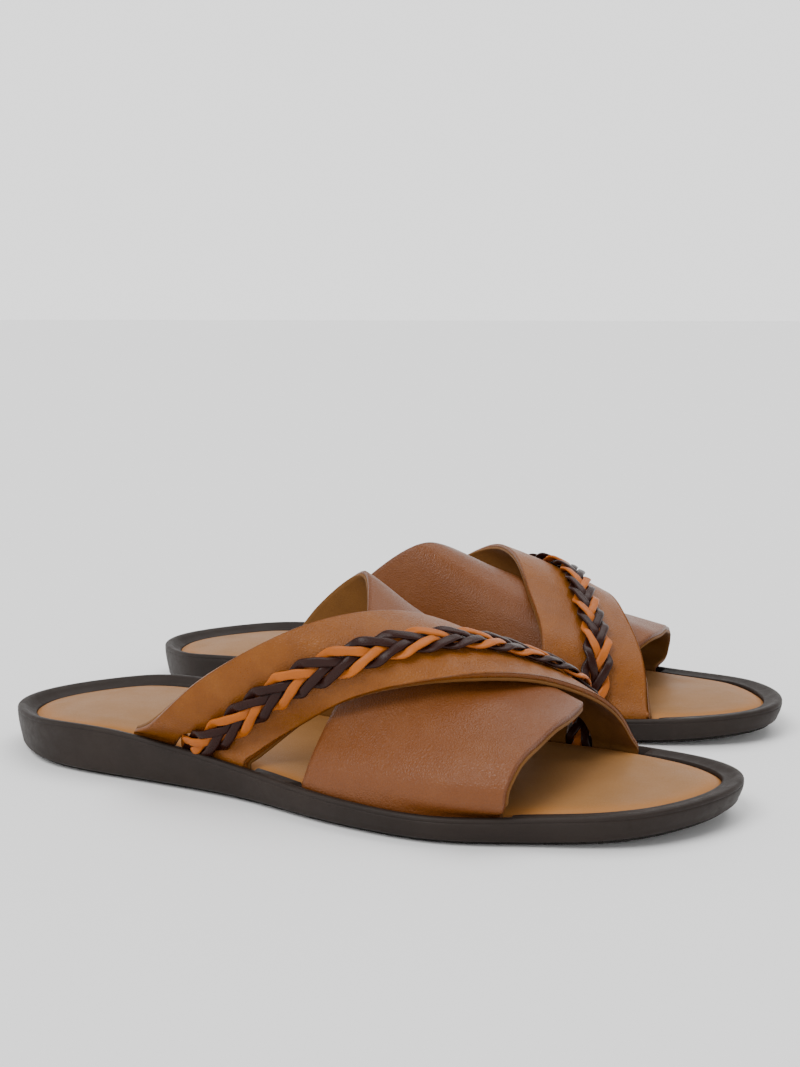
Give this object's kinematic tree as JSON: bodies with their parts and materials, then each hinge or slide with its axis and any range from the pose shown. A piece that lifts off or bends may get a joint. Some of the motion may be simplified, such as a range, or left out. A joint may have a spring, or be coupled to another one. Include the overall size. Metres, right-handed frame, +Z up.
{
  "type": "cross-strap slide sandals",
  "caption": "Pair of leather slide sandals with crossed instep straps, a flat braid along one strap, and padded footbeds in rubber cup soles.",
  "frame": {"origin": "centre of the pair's footprint, on the ground", "axes": "+X from heels to toes, +Y from the right sandal to the left one, +Z up"},
  "size_m": [0.298, 0.247, 0.0724],
  "materials": {
    "tread_rubber": "matt",
    "sole_rubber": "satin",
    "fibre_board": "matt",
    "foam": "matt",
    "footbed_leather": "satin",
    "golden_leather": "semi-gloss",
    "brown_leather": "semi-gloss",
    "lining_leather": "matt",
    "dark_strand_leather": "gloss",
    "orange_strand_leather": "semi-gloss"
  },
  "bodies": {
    "right_sandal": {"right_tread_plate": "tread_rubber", "right_cup_sole": "sole_rubber", "right_insole_cover": "footbed_leather", "right_footbed_foam": "foam", "right_insole_board": "fibre_board", "right_braid_strap_upper": "golden_leather", "right_braid_strap_lining": "lining_leather", "right_plain_strap_upper": "brown_leather", "right_plain_strap_lining": "lining_leather", "right_braid_strand_1": "orange_strand_leather", "right_braid_strand_2": "dark_strand_leather", "right_braid_strand_3": "orange_strand_leather", "right_braid_strand_4": "dark_strand_leather", "right_braid_strand_5": "dark_strand_leather"},
    "left_sandal": {"left_tread_plate": "tread_rubber", "left_cup_sole": "sole_rubber", "left_insole_cover": "footbed_leather", "left_footbed_foam": "foam", "left_insole_board": "fibre_board", "left_braid_strap_upper": "golden_leather", "left_braid_strap_lining": "lining_leather", "left_plain_strap_upper": "brown_leather", "left_plain_strap_lining": "lining_leather", "left_braid_strand_1": "orange_strand_leather", "left_braid_strand_2": "dark_strand_leather", "left_braid_strand_3": "orange_strand_leather", "left_braid_strand_4": "dark_strand_leather", "left_braid_strand_5": "dark_strand_leather"}
  },
  "joints": [
    {"name": "left_sandal_slide", "type": "slide", "parent": "right_sandal", "child": "left_sandal", "axis": [0, 1, 0], "range_m": [0, 0.3]}
  ]
}
